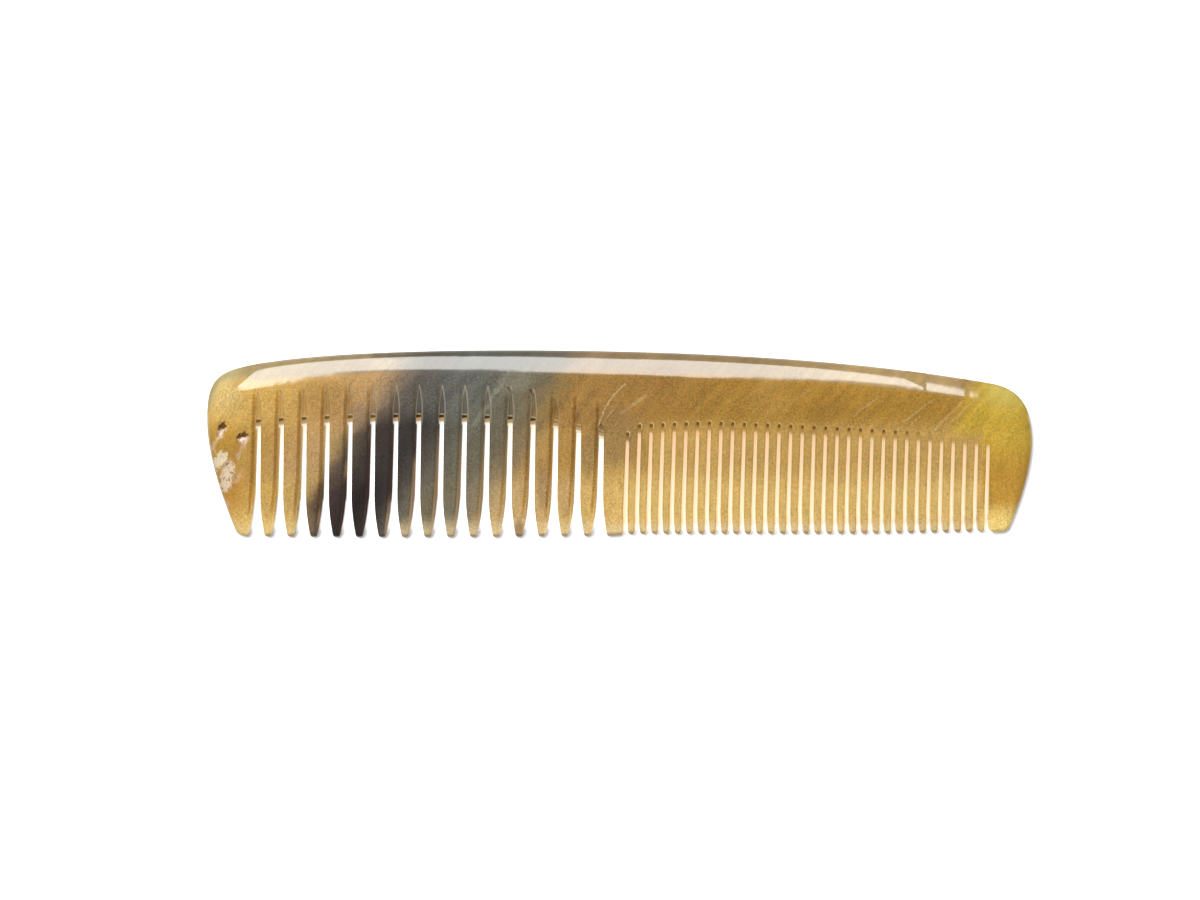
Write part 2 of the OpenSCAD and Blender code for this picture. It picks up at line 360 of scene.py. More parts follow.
def makeGroove(run):
    # Across x, out of the face z, with the slot's end at y = 0
    depth, rise, half = grooves["depth"], grooves["rise"], wideTeeth["gap"] / 2
    left, right = -half - grooves["left"], half + grooves["right"]
    floorLeft, floorRight = [grooves["floorMiddle"] + side * grooves["floorHalf"] for side in (-1, 1)]
    flare = rise / depth
    section = [
        (left - flare * (floorLeft - left), rise),
        (floorLeft, -depth),
        (floorRight, -depth),
        (right + flare * (right - floorRight), rise),
    ]
    fileRadius = (run ** 2 + depth ** 2) / (2 * depth)
    sweep = grooves["overshoot"] * math.asin(run / fileRadius)
    groove = polygon([(across, -2 * halfWidth, out) for across, out in section])
    editAll(groove)
    bpy.ops.mesh.extrude_region_move(TRANSFORM_OT_translate={"value": (0, 2 * halfWidth, 0)})
    middle = (0, 0, fileRadius - depth)
    bpy.ops.mesh.spin(steps=grooves["steps"], angle=-sweep, center=middle, axis=(1, 0, 0))
    faceOutward()
    return groove


def makeGrooves(back):
    made = []
    for index in range(wideTeeth["slots"]):
        x = wideFirst + index * widePitch
        top = wideTop(x)
        groove = makeGroove(grooves["runs"][index])
        if back:
            place = Matrix.Translation((0, top - wideTeeth["runOut"], 0)) @ Matrix.Scale(-1, 4, (0, 0, 1))
        else:
            place = Matrix.Translation((0, top, faceHeight(top))) @ Matrix.Rotation(faceSlope, 4, "X")
        groove.data.transform(leaned(wideTeeth, x, index / (wideTeeth["slots"] - 1)) @ place)
        made.append(groove)
    joined = joinPieces(made, "fileCutsBack" if back else "fileCutsFront")
    editAll(joined)
    faceOutward()
    return joined


def cutAway(piece, cutter):
    pickOnly(piece)
    cut = piece.modifiers.new("cut", "BOOLEAN")
    cut.operation = "DIFFERENCE"
    cut.solver = "EXACT"
    cut.object = cutter
    bpy.ops.object.modifier_apply(modifier=cut.name)
    bpy.data.objects.remove(cutter)


# The damage near the left end, dug out with rough blobs
damageShape = {
    "pits": 2,               # how many of the scoops are pits, which come first
    # colour of each patch, and strength of its fissures
    "patches": [("patchCream", 0.4), ("patchPink", 0.9)],
    # middle, half length and half width, turn in degrees, depth
    "scoops": [
        ((-62.75, 2.25), (1.30, 0.62), 72, 0.55),
        ((-59.40, 0.95), (1.00, 0.80), 0, 0.50),
        ((-63.05, -2.50), (1.50, 0.90), 62, 0.14),
        ((-61.95, -5.20), (2.60, 1.05), 76, 0.16),
    ],
    "fullness": 1.3,         # half a blob's height, in depths of its scoop
    "roughness": 0.16,
    "grain": 1.7,            # how fine the roughness is
    "finerGrain": 2.3,       # how much finer its second layer is, and that layer's share
    "finerShare": 0.5,
    "edge": (1.18, 0.86),    # between these shares of a scoop's size its colour fades in
    "halo": ((-60.6, -1.4), (2.6, 0.9), 62),
    "haloEdge": (1.2, 0.4),
}


def makeScoops():
    shape = damageShape
    made = []
    for index, (middle, halves, turn, depth) in enumerate(shape["scoops"]):
        height = shape["fullness"] * depth
        bpy.ops.mesh.primitive_ico_sphere_add(subdivisions=4, radius=1)
        blob = bpy.context.object
        for vertex in blob.data.vertices:
            spot = vertex.co * shape["grain"] + Vector((7 * index, 0, 0))
            finer = shape["finerShare"] * noise.noise(shape["finerGrain"] * spot)
            vertex.co *= 1 + shape["roughness"] * (noise.noise(spot) + finer)
        size = Matrix.Diagonal((halves[0], halves[1], height, 1))
        place = Matrix.Translation((middle[0], middle[1], faceHeight(middle[1]) + height - depth))
        blob.data.transform(place @ Matrix.Rotation(math.radians(turn), 4, "Z") @ size)
        made.append(blob)
    return joinPieces(made, "scoops")


# How the sawn comb is smoothed
finish = {
    "weld": 0.0005,
    "sharpAngle": 32,        # edges sharper than this stay sharp
}
comb = makeBlank()
print("blank:", len(comb.data.polygons), "faces")
cutAway(comb, makeSlots())
print("slots sawn:", len(comb.data.polygons), "faces")
cutAway(comb, makeGrooves(back=False))
cutAway(comb, makeGrooves(back=True))
print("grooves filed:", len(comb.data.polygons), "faces")
cutAway(comb, makeScoops())
print("damage dug:", len(comb.data.polygons), "faces")

editAll(comb)
bpy.ops.mesh.remove_doubles(threshold=finish["weld"])
deselect()
pickOnly(comb)
bpy.ops.object.shade_smooth_by_angle(angle=math.radians(finish["sharpAngle"]))
evened = comb.modifiers.new("evened", "WEIGHTED_NORMAL")
evened.mode = "FACE_AREA"
evened.keep_sharp = True
bpy.ops.object.modifier_apply(modifier=evened.name)
comb.scale = (millimetre,) * 3
bpy.ops.object.transform_apply(location=False, rotation=False, scale=True)

# The horn's look. Colours are written as they are seen on the comb, and the light's brightness is taken
# off them. The places in the three lists are measured across the slanting brown band, from its left edge.
# Below, a pair holds the two places between which something fades in, the clear one first, and a three
# holds the middle, half the width and the soft edge of a stretch
hornLook = {
    "light": 2.36,
    "gamma": 2.2,
    "bandStart": 35.4,       # how far left of the comb's middle the band's edge lies at this height
    "bandHeight": 11,
    "bandSlant": 0.573,
    "bandWobble": [(9.0, 2.0, 2.4), (1.4, 3.0, 1.6)],  # size, detail and strength
    "rampFrom": -24,
    "rampTo": 60,
    "back": [
        (-20, (208, 169, 92)), (-12, (196, 157, 90)), (-4, (184, 146, 97)), (-2, (180, 147, 104)),
        (0.5, (140, 120, 96)), (2, (118, 105, 90)), (4, (98, 91, 85)), (8, (96, 95, 90)),
        (12, (102, 103, 98)), (16, (103, 102, 92)), (20, (106, 102, 86)), (24, (118, 107, 85)),
        (27, (142, 117, 72)), (30, (160, 123, 68)), (40, (157, 119, 62)), (60, (166, 127, 54)),
    ],
    "middle": [
        (-20, (179, 139, 61)), (-12, (181, 144, 84)), (-6, (185, 150, 102)), (-3.2, (166, 138, 92)),
        (-0.5, (92, 80, 67)), (2.4, (63, 55, 50)), (8.7, (56, 52, 51)), (12.3, (84, 78, 70)),
        (15.9, (102, 99, 87)), (22.3, (108, 101, 82)), (26.7, (139, 119, 88)), (29.4, (172, 138, 82)),
        (34, (173, 134, 72)), (40, (182, 148, 84)), (48, (191, 155, 88)),
    ],
    "tips": [
        (-16, (175, 125, 51)), (-10, (202, 166, 92)), (-3.4, (185, 153, 96)), (-1.6, (104, 85, 65)),
        (1.2, (66, 54, 51)), (6, (40, 34, 32)), (10, (56, 51, 48)), (13.5, (105, 99, 88)),
        (17, (114, 105, 83)), (20.8, (119, 112, 95)), (24.4, (140, 124, 96)), (28, (192, 163, 114)),
        (36, (200, 166, 106)), (44, (215, 179, 107)),
    ],
    "middleFrom": (5, 0.5),  # heights between which one list gives way to the next
    "tipsFrom": (-3, -8),
    "smoke": (6.0, 4.5, 2.5),
    "smokeRise": 2.0,        # how much higher the middle list reaches in the smoke
    "darkTips": (6.5, 7.0, 1.3),
    "paleFrom": (-11.0, -14.2),
    "paleShare": 0.62,
    "rightLowFrom": (2, -5),
    "rightFootFrom": (-8.5, -12.5),
    "rightUpper": (0, 3),    # above this the yellow right end begins along a slant, below it upright
    "rightSlant": 0.55,
    "rightSlanting": (48.8, 53.8),
    "rightUpright": (56.6, 57.8),
    "rightShare": 0.85,
    # colour, places along and up the comb, strength
    "washes": [
        ("tipGold", (-47, -52), (-9.0, -13.0), 0.38),
        ("rightPale", (54, 61), (3, 9), 0.8),
        ("cornerPale", (-57.5, -62), (3, 8), 0.8),
    ],
    "rightEnd": (201, 168, 60),
    "rightLow": (186, 141, 48),
    "rightFoot": (250, 219, 128),
    "rightPale": (200, 186, 108),
    # the filed bevel, painted tan where light falls on it, and darker in the darkest part of the band
    "flankLitTan": (182, 148, 108),
    "flankDark": (74, 52, 46),
    # painted shade at a wide slot's inner end, and painted light on its walls and below the end, all shown
    # as a glow
    "slotEndShade": (108, 78, 36),
    "slotEndShadeSmoky": (54, 40, 30),
    "slotEndFootGlow": (172, 138, 84),
    "slotWallGlow": (248, 236, 216),
    # painted highlights on the ledge above a wide slot's inner end and along the rims of its run-out
    "slotShelfHighlight": (216, 192, 150),
    "grooveRimHighlight": (205, 190, 160),
    # a painted highlight on the rim of a fine slot's inner end, painted shade at that end and painted light
    # on its walls
    "fineRimHighlight": (232, 205, 150),
    "fineEndShade": (104, 70, 38),
    "fineWallGlow": (250, 222, 176),
    "cornerPale": (222, 195, 130),
    "tipPale": (228, 207, 160),
    "tipGold": (240, 204, 118),
    "patchCream": (228, 214, 180),
    "patchPink": (222, 202, 172),
    "fissure": (150, 112, 66),
    # the pits' upper walls painted dark as shade and their lower walls pale as light; the pale also marks
    # the trails below them
    "pitShadedWall": (92, 52, 14),
    "pitLitWallAndPaleTrail": (236, 208, 186),
    "pitHalo": (170, 124, 62),
    "veinGrey": (166, 168, 150),
    "veinPale": (208, 186, 138),
    # painted shade at the tops of two grooves' run-outs
    "grooveTopShade": (66, 54, 38),
    # painted shade on the rolled left end
    "edgeShadeOlive": (172, 162, 128),
    "cornerShadeOlive": (196, 184, 122),
    "warmGrain": (1.14, 0.95, 0.76),
    "grains": (0.70, 0.34, 0.26, 1.15),  # strength of the streaks, fibres, mottling and speckle
    "streakSlope": 48,       # of the streaks in the body, in degrees
    "refraction": 1.54,
    "roughness": 0.09,
    "wornRough": 0.5,        # how much rougher the flaking patch is
    # the waves in the polish, long and short: how fine along and up the comb, and how high
    "waves": [(0.10, 0.25, 0.03), (0.5, 0.25, 0.012)],
    "sawnFace": (0.03, 0.12),
}
# The marks of saw and file beside the slots, across from a slot's middle line, with the painted shade and
# highlights on them and the painted light and shade inside the slots
sawMarks = {
    "ridge": 0.88,           # how far left of a wide slot the filed ridge runs
    "ridgeTurnIn": 0.16,     # how much nearer it runs at the top of the run-out
    "ridgeTurnOut": 0.32,    # how much further away near the tips
    # painted shade: a dark line along the filed ridge
    "ridgeLine": (0.0, 0.13, 0.20),
    "ridgeShadeTint": (0.70, 0.58, 0.36),
    "ridgeTop": (5.2, 3.2),  # heights above a slot's inner end
    "ridgeFoot": (-13, -9),
    "smoky": (13.5, 12.0, 2.0),
    "darkest": (6.2, 3.6, 2.0),
    "darkestFrom": (4, -1),
    "runOut": 4.9,           # height of the marks above a slot
    "runOutShort": 1.5,      # the same near the split
    "runOutFrom": (-14, -2),
    "rimLeft": 0.44,
    # painted highlights on the two rims: stretch across, heights, strength and what the smoky part adds to
    # it
    "rims": [((0.0, 0.04, 0.12), (3.0, 4.2), 0.10, 0.14), ((0.0, 0.05, 0.13), (2.5, 4.0), 0.16, 0.14)],
    # painted light on the wall and the foot below the inner end of a wide slot, whose dark is painted shade:
    # colour, depths, strength
    "belowEnd": [("slotWallGlow", (1.5, 1.0), 0.85), ("slotEndFootGlow", (1.05, 0.70), 0.9)],
    # painted shade at the inner end of a wide slot
    "endDark": (0.42, 0.24),
    "endSlant": 0.2,         # how far the dark runs further down on the left
    "thinFrom": (-14, -9),   # the dark is a thin line right of these places
    "thinner": 0.16,
    # painted shade along the edges of the fine teeth beside their slots
    "toothEdgeShadeTint": (0.90, 0.86, 0.76),
}
# Damage, veins, stains and two painted shadows, as places on the comb
hornMarks = {
    # start, end, strength
    "trails": [
        ((-63.4, 0.9), (-64.3, -0.9), 0.4), ((-59.3, -0.2), (-60.3, -2.0), 0.3),
        ((-59.7, -4.6), (-60.5, -6.0), 0.3), ((-62.4, -8.6), (-61.9, -9.8), 0.3),
    ],
    "trailEdge": (0.55, 0.05),
    "grooveTopShades": [((-17.6, 8.9), (-16.9, 8.0), 0.75), ((-14.1, 8.5), (-13.6, 7.7), 0.75)],
    "grooveTopShadeEdge": (0.24, 0.10),
    # start, end, strength, half width
    "veinGrey": [
        ((-17.6, 11.0), (-19.4, 8.4), 0.18, 0.55), ((-19.4, 8.4), (-21.0, 5.9), 0.18, 0.60),
        ((-21.0, 5.9), (-23.0, 3.0), 0.16, 0.70), ((-17.6, 10.4), (-20.0, 7.4), 0.18, 0.18),
        ((-20.0, 7.4), (-21.6, 4.6), 0.18, 0.18), ((-18.6, 8.6), (-21.2, 6.6), 0.14, 0.16),
    ],
    "veinPale": [
        ((0.9, 9.4), (-1.0, 7.6), 0.50, 0.22), ((-1.0, 7.6), (-1.9, 6.2), 0.50, 0.22),
        ((-1.9, 6.2), (-2.65, 4.9), 0.45, 0.22), ((-2.65, 4.9), (-3.1, 3.6), 0.45, 0.22),
        ((-3.1, 3.6), (-3.3, 2.2), 0.45, 0.22), ((-1.0, 5.2), (-1.8, 4.2), 0.30, 0.20),
        ((4.1, 7.8), (2.2, 6.2), 0.22, 0.35), ((2.2, 6.2), (0.3, 4.9), 0.18, 0.40),
        ((49.0, 1.6), (53.6, 6.4), 0.30, 0.30), ((51.0, 2.3), (55.6, 6.7), 0.26, 0.26),
        ((44.6, 3.5), (48.9, 6.6), 0.26, 0.28), ((37.0, 4.5), (40.6, 7.5), 0.24, 0.26),
        ((45.9, 3.2), (47.3, 4.3), 0.30, 0.16), ((25.9, 5.2), (29.6, 8.6), 0.10, 0.40),
    ],
    "veinCore": 0.2,         # share of a vein's half width that has its full strength
    "sway": (2.6, 0.9),      # size and strength of the sway of veins and stains
    # middle, half width and half height, turn in degrees, colour, strength
    "stains": [
        ((-0.8, 1.4), (5.0, 5.4), 0, (140, 112, 72), 0.62),
        ((-46.6, 7.0), (4.2, 3.6), 0, (164, 127, 72), 0.5),
        ((-5.0, -2.0), (1.3, 4.0), 0, (146, 120, 80), 0.55),
        ((-16.6, 9.9), (3.4, 2.0), 20, (140, 136, 118), 0.4),
        ((-34.5, 14.2), (6.0, 0.9), 2, (104, 92, 78), 0.75),
        ((-12.1, -7.0), (1.0, 4.5), 0, (160, 128, 92), 0.6),
        ((-15.9, -13.8), (1.0, 2.0), 0, (146, 112, 76), 0.75),
        ((-48.7, -12.8), (0.9, 2.0), 0, (130, 112, 92), 0.4),
        ((-8.5, -8.5), (1.2, 4.0), 0, (188, 154, 108), 0.4),
        ((23.4, 7.2), (4.6, 3.6), 40, (190, 152, 90), 0.22),
        ((3.4, -1.8), (1.8, 3.4), 0, (150, 118, 62), 0.45),
        ((33.0, 5.2), (4.5, 1.8), 30, (140, 104, 50), 0.35),
        ((-45.2, -5.0), (1.7, 2.4), 0, (78, 66, 60), 0.4),
        ((-41.0, 4.2), (2.0, 2.6), 0, (110, 96, 84), 0.42),
    ],
    "stainEdge": (1.15, 0.5),
}
# Painted shade, and a little painted light, on the rim of the tips, the rolled edge of the back and the two
# ends, by depth below the face
rimLook = {
    # painted shade along the rolled edge of the tips
    "foot": (0.62, 0.18),    # heights above the line of the tips
    "tipShadeTint": (0.72, 0.66, 0.60),
    "between": (-1.0, 57.0, 1.0),
    "backFrom": (9.2, 10.2),
    "endsFrom": (4, 8),
    "rightFrom": (5, 8),
    "rightAlong": (0, 4),
    # painted shade: between these depths the rolled back and ends are greyed and darkened
    "depth": 0.10,
    "full": 0.28,
    "fullLeft": 0.7,         # how much deeper it is complete at the left end
    "leftAlong": (-57, -60),
    "stop": (57, 53),
    "saturation": 0.74,
    "value": 0.80,
    "tint": (0.96, 1.00, 0.88),
    "tintLeft": (-10, -30),
    "tintRight": (-8, 4),
    "tintRightShare": 0.9,
    # painted light and shade along the rolled back: lighter towards the right, darker at the left
    "lighter": 0.42,
    "lighterAlong": (20, 42),
    "darker": 0.22,
    "darkerAlong": (-37, -42),
    # painted light on the rolled right end, making up for shade there: strength, depths, places along
    "rightEdgeLight": (0.3, (0.3, 1.5), (60, 64)),
    # painted shade on the rolled left end: colour, depths, places along and up the comb, strength
    "washes": [
        ("edgeShadeOlive", (0.3, 1.2), (-59, -61), (3, 0), 0.4),
        ("cornerShadeOlive", (0.4, 1.4), (-58.5, -62.5), (0, 6), 0.5),
    ],
    # painted shade under the rolled back
    "under": (1.2, 2.4),
    "underUp": (8, 4),
    "underShadeTint": (0.80, 0.80, 0.84),
    # where the back's bright band has gaps and where it ends
    "gaps": [(48.05, 0.16, 0.12), (54.7, 0.30, 0.25)],
    "leftStop": (-69.8, -70.1),
    "leftStopSlant": 1.09,
    "rightStop": (56.3, 56.7),
    "stopsUp": (4, 5),
}


def setInputs(node, values):
    for name, value in values.items():
        if isinstance(value, Field):
            Field.tree.links.new(value.socket, node.inputs[name])
        else:
            node.inputs[name].default_value = value


def arithmetic(operation):
    # The methods for a sign with a field before it and with a field after it
    return (lambda self, other: Field.maths(operation, self, other),
            lambda self, other: Field.maths(operation, other, self))


class Field:
    # An output in the node tree of the material being made, ready to be calculated with
    tree = None

    def __init__(self, socket):
        self.socket = socket

    @classmethod
    def make(cls, kind, settings, inputs, output=0):
        node = cls.tree.nodes.new(kind)
        for name, value in settings.items():
            setattr(node, name, value)
        setInputs(node, inputs)
        return cls(node.outputs[output])

    @classmethod
    def maths(cls, operation, *values):
        return cls.make("ShaderNodeMath", {"operation": operation}, dict(enumerate(values)))

    __add__, __radd__ = arithmetic("ADD")
    __sub__, __rsub__ = arithmetic("SUBTRACT")
    __mul__, __rmul__ = arithmetic("MULTIPLY")
    __truediv__, __rtruediv__ = arithmetic("DIVIDE")

    def __abs__(self):
        return Field.maths("ABSOLUTE", self)

    def atLeast(self, other):
        return Field.maths("MAXIMUM", self, other)

    def atMost(self, other):
        return Field.maths("MINIMUM", self, other)

    def clamped(self):
        return self.atLeast(0.0).atMost(1.0)

    def step(self, low, high):
        # Rises smoothly from 0 to 1 between the two values, or falls if they are given the other way round
        if not isinstance(high, Field) and low > high:
            return 1 - self.step(high, low)
        settings = {"interpolation_type": "SMOOTHSTEP"}
        return Field.make("ShaderNodeMapRange", settings, {"Value": self, "From Min": low, "From Max": high})

    def near(self, middle, half, soft):
        # 1 within half of the middle, falling to 0 over the soft distance beyond
        return abs(self - middle).step(half + soft, half)

    def ramp(self, low, high, stops):
        made = Field.make("ShaderNodeValToRGB", {}, {0: (self - low) / (high - low)})
        line = made.socket.node.color_ramp
        while len(line.elements) < len(stops):
            line.elements.new(1.0)
        for element, (place, colour) in zip(line.elements, stops):
            element.position = (place - low) / (high - low)
            element.color = colour
        return made

    def over(self, colour, strength):
        # This colour turned into the other one, which may be a name in hornLook, by the given strength
        if isinstance(colour, str):
            colour = seen(hornLook[colour])
        return Field.make("ShaderNodeMix", {"data_type": "RGBA"}, {0: strength, 6: self, 7: colour}, 2)

    def tinted(self, colour, strength):
        # This colour multiplied by the other one, by the given strength
        settings = {"data_type": "RGBA", "blend_type": "MULTIPLY"}
        return Field.make("ShaderNodeMix", settings, {0: strength, 6: self, 7: (*colour, 1.0)}, 2)

    def times(self, share):
        return Field.make("ShaderNodeVectorMath", {"operation": "SCALE"}, {0: self, 3: share})

    def moved(self, *way):
        return Field.make("ShaderNodeVectorMath", {"operation": "ADD"}, {0: self, 1: way})

    def grain(self, size, detail=2.0, roughness=0.5):
        # Noise about 0, its lumps as large as the given size
        inputs = {"Vector": self, "Scale": 1 / size, "Detail": detail, "Roughness": roughness}
        return Field.make("ShaderNodeTexNoise", {}, inputs) - 0.5


def startMaterial(name):
    # A new material, with the place on its piece in millimetres, whole and along each axis
    material = bpy.data.materials.new(name)
    material.use_nodes = True
    material.cycles.emission_sampling = "NONE"
    Field.tree = material.node_tree
    place = Field.make("ShaderNodeTexCoord", {}, {}, 3).times(1 / millimetre)
    x, y, z = [Field.make("ShaderNodeSeparateXYZ", {}, {0: place}, axis) for axis in range(3)]
    return material, place, x, y, z


def seen(colour):
    return tuple((part / 255) ** hornLook["gamma"] / hornLook["light"] for part in colour) + (1.0,)


def stops(name):
    return [(place, seen(colour)) for place, colour in hornLook[name]]


def even(colour):
    # The same colour everywhere
    if isinstance(colour, str):
        colour = seen(hornLook[colour])
    made = Field.make("ShaderNodeRGB", {}, {})
    made.socket.default_value = (*colour[:3], 1.0)
    return made


def joined(x, y, z):
    return Field.make("ShaderNodeCombineXYZ", {}, {0: x, 1: y, 2: z})


def distance(across, up):
    return Field.maths("SQRT", across * across + up * up)


def ellipse(x, y, middle, halves, turn):
    # 0 in the middle and 1 on the ellipse
    angle = math.radians(turn)
    across, up = x - middle[0], y - middle[1]
    along = (across * math.cos(angle) + up * math.sin(angle)) / halves[0]
    aside = (up * math.cos(angle) - across * math.sin(angle)) / halves[1]
    return distance(along, aside)


def segment(x, y, start, end):
    # Distance from the straight line between two points
    run, climb = end[0] - start[0], end[1] - start[1]
    across, up = x - start[0], y - start[1]
    share = ((across * run + up * climb) / (run * run + climb * climb)).clamped()
    return distance(across - share * run, up - share * climb)


def bandColour(x, y, place):
    look = hornLook
    long, short = [place.grain(size, detail) * strength for size, detail, strength in look["bandWobble"]]
    band = x + look["bandStart"] - (y - look["bandHeight"]) * look["bandSlant"] + (long + short)
    low, high = look["rampFrom"], look["rampTo"]
    back, middle, tips = [band.ramp(low, high, stops(name)) for name in ("back", "middle", "tips")]
    lower = y - band.near(*look["smoke"]) * look["smokeRise"]
    colour = back.over(middle, lower.step(*look["middleFrom"])).over(tips, y.step(*look["tipsFrom"]))
    clear = 1 - band.near(*look["darkTips"])
    colour = colour.over("tipPale", y.step(*look["paleFrom"]) * clear * look["paleShare"])

    right = even("rightEnd").over("rightLow", y.step(*look["rightLowFrom"]))
    right = right.over("rightFoot", y.step(*look["rightFootFrom"]))
    upper = y.step(*look["rightUpper"])
    slanting = (x - y * look["rightSlant"]).step(*look["rightSlanting"])
    atRight = slanting * upper + x.step(*look["rightUpright"]) * (1 - upper)
    colour = colour.over(right, atRight * look["rightShare"])
    for name, along, up, strength in look["washes"]:
        colour = colour.over(name, x.step(*along) * y.step(*up) * strength)
    return colour, band


def footLine(x):
    # The line of the tips
    bowed, late = x + halfLength / 2, (x - halfLength / 2).atLeast(0.0)
    wide = bowed * bowed * blankShape["wideTipBow"]
    fine = late * late * blankShape["fineTipBow"] + blankShape["fineTipLift"]
    share = x.step(blankShape["split"], blankShape["split"] + blankShape["tipStep"])
    return wide * (1 - share) + fine * share - halfWidth


def halfGap(teeth, y, top):
    # Half a slot's width, which grows from its inner end to the taper of the tips
    down = ((top - y) / (teeth["root"] + halfWidth - teeth["taper"])).clamped()
    return teeth["gap"] / 2 + down * (teeth["widening"] / 2)


def wideMarks(x, y, drop, band, colour):
    # The ridge beside each wide slot with its painted shade line, its bevel painted lighter or darker,
    # painted highlights on the rims of its run-out and on the ledge above the slot, and the painted light
    # and shade on the sawn faces inside the slot
    marks = sawMarks
    upright = x - (y - wideTeeth["leanPivot"]) * math.tan(math.radians(wideTeeth["lean"][0]))
    away = (upright - wideFirst) / widePitch
    aside = (away - Field.maths("ROUND", away)) * widePitch
    there = upright.step(wideFirst - 1.9, wideFirst - 1.7) * upright.step(wideLast + 1.8, wideLast + 1.6)
    bowed = x + halfLength / 2
    late = (x - (blankShape["split"] - wideTeeth["dropFrom"])).atLeast(0.0)
    top = wideTeeth["root"] - bowed * bowed * wideTeeth["rootBow"] - late * late * wideTeeth["rootDrop"]
    shorter = (marks["runOut"] - marks["runOutShort"]) * x.step(*marks["runOutFrom"])
    above = ((y - top) / (marks["runOut"] - shorter)).clamped()
    below = ((-1.0 - y) / 9.0).atLeast(0.0)
    narrowing = 1 - above * above
    smoky = band.near(*marks["smoky"])
    dark = band.near(*marks["darkest"]) * y.step(*marks["darkestFrom"])

    beside = aside + marks["ridge"] - marks["ridgeTurnIn"] * above + marks["ridgeTurnOut"] * below * below
    # Painted light and shade on the filed bevel: tan and a little lighter where light falls on it, darker in
    # the darkest part of the band
    flank = beside.step(0.02, 0.16) * aside.step(0.05, -0.05) * y.step(5, 1) * there
    colour = colour.over("flankLitTan", flank * smoky * (1 - dark) * y.step(4, -4) * 0.52)
    colour = colour.over("flankDark", flank * dark * 0.6)
    colour = colour.times(1 + 0.08 * flank * (1 - smoky))
    # Painted shade along the filed ridge
    ridge = beside.near(*marks["ridgeLine"]) * there * (y - top).step(*marks["ridgeTop"])
    colour = colour.tinted(marks["ridgeShadeTint"], ridge * (1 - 0.45 * smoky) * y.step(*marks["ridgeFoot"]))

    floor, half = grooves["floorMiddle"], wideTeeth["gap"] / 2
    fromLeft = aside + marks["rimLeft"] * narrowing
    fromRight = aside - (floor + (half + grooves["right"] - floor) * narrowing)
    fading = above.step(1.0, 0.9) * there
    # Painted highlights along the two rims of the run-out
    edges = zip((fromLeft, fromRight), marks["rims"])
    left, right = [edge.near(*stretch) * y.step(*heights) * fading * (strength + added * smoky)
                   for edge, (stretch, heights, strength, added) in edges]
    colour = colour.over("grooveRimHighlight", left + right)
    # A painted highlight on the ledge just above the slot's inner end
    shelf = (y - top).near(0.14, 0.05, 0.12) * abs(aside).step(half + 0.04, half - 0.06) * there
    colour = colour.over("slotShelfHighlight", shelf * 0.5)

    sawn = (abs(aside) - halfGap(wideTeeth, y, top)).step(0.08, 0.02) * there * (y - top).step(0.06, -0.02)
    thin = x.step(*marks["thinFrom"])
    deep = top - y + (aside - half) * marks["endSlant"] * (1 - thin) + thin * marks["thinner"]
    cleft = drop.step(0.1, 0.3)
    # Painted light and shade on the sawn faces inside the slot: pale walls, the inner end dark as shade, a
    # lighter foot below it
    inside = colour.over("slotWallGlow", drop.step(0.8, 3.0) * 0.7)
    for name, depths, strength in marks["belowEnd"]:
        inside = inside.over(name, deep.step(*depths) * cleft * strength)
    end = even("slotEndShade").over("slotEndShadeSmoky", smoky)
    inside = inside.over(end, deep.step(*marks["endDark"]) * cleft * (0.95 - 0.25 * thin))
    return colour, inside, sawn


def fineMarks(x, y, drop, colour):
    # The painted highlight on the rim of each fine slot's inner end, painted shade along the teeth's edges
    # beside it, and the painted light and shade on the sawn faces inside the slot
    share = ((x - fineFirst) / (halfLength - fineTeeth["lastFromEnd"] - fineFirst)).clamped()
    firstLean, lastLean = fineTeeth["lean"]
    lean = firstLean - share * (firstLean - lastLean)
    upright = x - (y - fineTeeth["leanPivot"]) * lean * math.radians(1)
    away = (upright - fineFirst) / finePitch
    index = Field.maths("ROUND", away)
    aside = (away - index) * finePitch
    slotX = fineFirst + index * finePitch
    there = x.step(fineFirst - 0.8, fineFirst - 0.5) * x.step(halfLength - 6.3, halfLength - 6.7)
    off = abs(slotX - blankShape["split"] - fineTeeth["rootMiddle"])
    first = index.step(0.6, 0.4) * fineTeeth["firstShort"]
    top = fineTeeth["root"] - off * fineTeeth["rootFall"] - off * off * fineTeeth["rootBow"] - first
    up = y - (top - fineTeeth["gap"] / 2)
    ring = distance(aside, up.atLeast(0.0))
    # A painted highlight on the top and right of the rim round each fine slot's inner end
    rim = ring.near(0.32, 0.04, 0.10) * there * up.step(-1.2, -0.2) * (aside * 2 + up).step(-0.35, 0.3)
    colour = colour.over("fineRimHighlight", rim * (0.62 - 0.55 * share))
    past = abs(aside) - halfGap(fineTeeth, y, top)
    # Painted shade along the teeth's edges beside the slot
    colour = colour.tinted(sawMarks["toothEdgeShadeTint"], past.step(0.34, 0.08) * there * (y - top).step(0.0, -1.0))

    sawn = past.step(0.12, 0.04) * there * (y - top).step(0.04, -0.02)
    down = top - y
    # Painted light on the walls inside the slot and painted shade at its inner end
    inside = colour.over("fineWallGlow", down.step(0.9, 2.2) * drop.step(0.04, 0.40) * 0.92)
    near = 1 - share.step(0.72, 0.90)
    inside = inside.over("fineEndShade", down.step(0.85, 0.40) * drop.step(0.02, 0.15) * near * 0.85)
    return colour, inside, sawn


